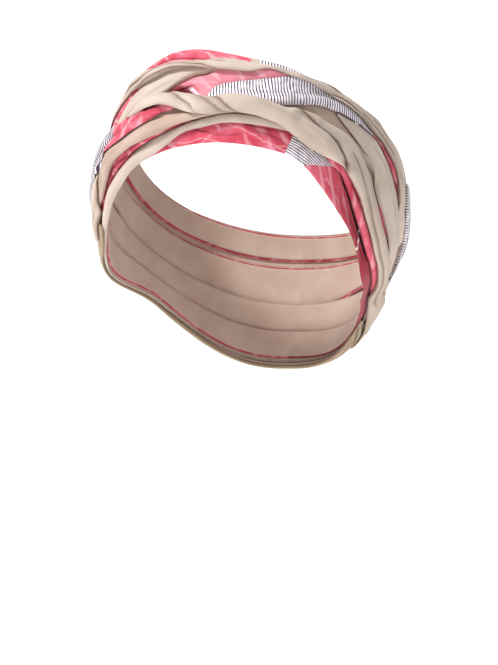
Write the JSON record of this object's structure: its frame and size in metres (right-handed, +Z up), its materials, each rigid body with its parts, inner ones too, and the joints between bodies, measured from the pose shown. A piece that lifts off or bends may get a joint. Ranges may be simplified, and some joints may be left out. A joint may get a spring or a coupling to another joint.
{
  "type": "turban headwrap",
  "caption": "Wound turban headwrap of gathered plain, printed and striped cloth straps, open at the crown, shaped as worn on a head.",
  "frame": {"origin": "middle of the head hollow, where a head holds the wrap", "axes": "+Z up, -Y the way the wearer faces, +X to the wearer's left"},
  "size_m": [0.1804, 0.2076, 0.176],
  "materials": {
    "base_band": "matte woven cloth",
    "edge_strap": "matte woven cloth",
    "print_roll": "matte woven cloth",
    "cross_strap": "matte woven cloth",
    "nape_strap": "matte woven cloth",
    "crown_strap": "matte woven cloth",
    "right_strap": "matte woven cloth",
    "upper_strap": "matte woven cloth",
    "top_strap": "matte woven cloth",
    "twist_strap": "matte woven cloth",
    "side_strap": "matte woven cloth"
  },
  "bodies": {
    "root": {"base_band": "base_band", "edge_strap": "edge_strap", "print_roll": "print_roll", "cross_strap": "cross_strap", "nape_strap": "nape_strap", "crown_strap": "crown_strap", "right_strap": "right_strap", "upper_strap": "upper_strap", "top_strap": "top_strap", "twist_strap": "twist_strap", "side_strap": "side_strap"}
  },
  "joints": []
}
